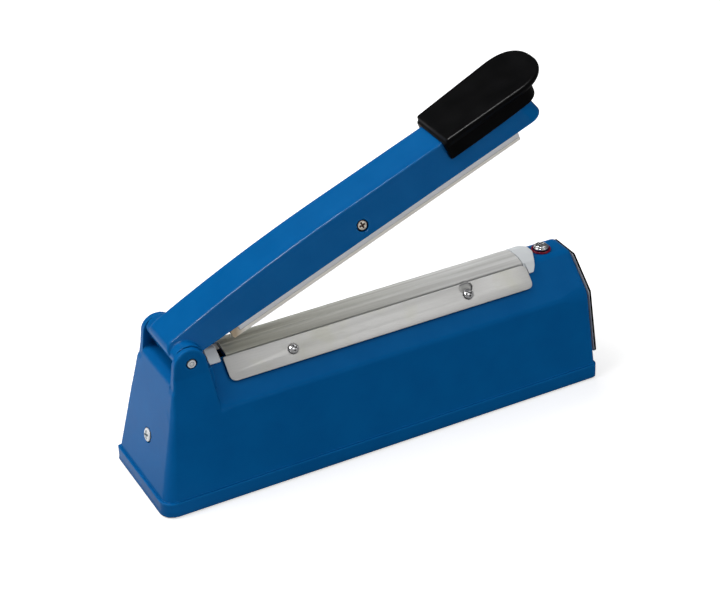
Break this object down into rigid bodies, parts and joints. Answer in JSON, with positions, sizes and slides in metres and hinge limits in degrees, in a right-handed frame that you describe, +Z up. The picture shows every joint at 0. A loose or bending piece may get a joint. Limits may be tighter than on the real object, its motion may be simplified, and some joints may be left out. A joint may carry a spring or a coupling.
{
  "type": "impulse heat sealer",
  "caption": "Hand impulse heat sealer: raised hinged lever with grip and silicone pad over a cloth-covered seal bar on a sloped blue housing with timer knob.",
  "frame": {"origin": "centre of the object's plan box, on the ground under the rubber feet", "axes": "+X along the length from the hinge end to the timer end, +Y from the front to the rear, +Z up"},
  "size_m": [0.3304, 0.08, 0.2322],
  "materials": {
    "blue_plastic": "glossy moulded ABS",
    "black_plastic": "satin moulded plastic",
    "white_plastic": "moulded heat-resistant plastic",
    "plate_steel": "satin stainless",
    "chrome": "bright plated",
    "aluminium": "mill finish",
    "brass": "plated brass",
    "nichrome": "rolled resistance strip",
    "cloth": "non-stick coated glass cloth",
    "silicone": "soft silicone",
    "foot_rubber": "matt rubber",
    "red_lens": "clear red moulding",
    "board": "glass-epoxy board",
    "core_steel": "stacked electrical steel",
    "winding": "taped copper winding"
  },
  "bodies": {
    "base": {"body_housing": "blue_plastic", "base_plate": "black_plastic", "base_screw_1": "chrome", "base_screw_2": "chrome", "base_screw_3": "chrome", "base_screw_4": "chrome", "rubber_foot_1": "foot_rubber", "rubber_foot_2": "foot_rubber", "rubber_foot_3": "foot_rubber", "rubber_foot_4": "foot_rubber", "end_screw": "chrome", "cord_bush": "black_plastic", "power_cord": "foot_rubber", "control_panel": "black_plastic", "timer_potentiometer": "core_steel", "potentiometer_nut": "chrome", "timer_board": "board", "board_relay": "black_plastic", "board_capacitor": "blue_plastic", "micro_switch": "black_plastic", "switch_bracket": "plate_steel", "plunger_spring": "chrome", "lamp_ring": "red_lens", "indicator_bulb": "red_lens", "transformer_core": "core_steel", "transformer_coil": "winding", "transformer_bracket": "plate_steel", "transformer_screw_1": "chrome", "transformer_screw_2": "chrome", "seal_bar": "aluminium", "under_tape": "cloth", "heating_element": "nichrome", "cloth_cover": "cloth", "end_block_left": "white_plastic", "end_block_right": "white_plastic", "terminal_left": "brass", "shield_plate_front": "plate_steel", "shield_plate_rear": "plate_steel", "shield_screw_front_1": "chrome", "shield_screw_front_2": "chrome", "shield_screw_rear_1": "chrome", "shield_screw_rear_2": "chrome", "hinge_pin": "chrome", "hinge_washer_front": "white_plastic", "hinge_washer_rear": "white_plastic", "lift_spring": "chrome"},
    "lever": {"lever_arm": "blue_plastic", "presser_bar": "aluminium", "silicone_pad": "silicone", "arm_screw_front": "brass", "arm_screw_rear": "brass", "grip": "black_plastic", "grip_screw_1": "chrome", "grip_screw_2": "chrome"},
    "plunger": {"switch_plunger": "chrome", "plunger_clip": "plate_steel", "switch_button": "red_lens"},
    "knob": {"timer_knob": "black_plastic", "timer_shaft": "chrome"}
  },
  "joints": [
    {"name": "lever_hinge", "type": "hinge", "parent": "base", "child": "lever", "pos_m": [-0.13315, 0, 0.1005], "axis": [0, 1, 0], "range_deg": [0, 21.5], "stiffness_Nm_per_rad": 0.45, "springref_deg": -63.03, "deforming": ["lift_spring"]},
    {"name": "switch_press", "type": "slide", "parent": "base", "child": "plunger", "axis": [0, 0, -1], "range_m": [0, 0.0018], "stiffness_N_per_m": 250, "springref_m": -0.004, "deforming": ["plunger_spring"]},
    {"name": "timer_turn", "type": "hinge", "parent": "base", "child": "knob", "pos_m": [0.155, 0, 0.047], "axis": [1, 0, 0], "range_deg": [-135, 135]}
  ]
}
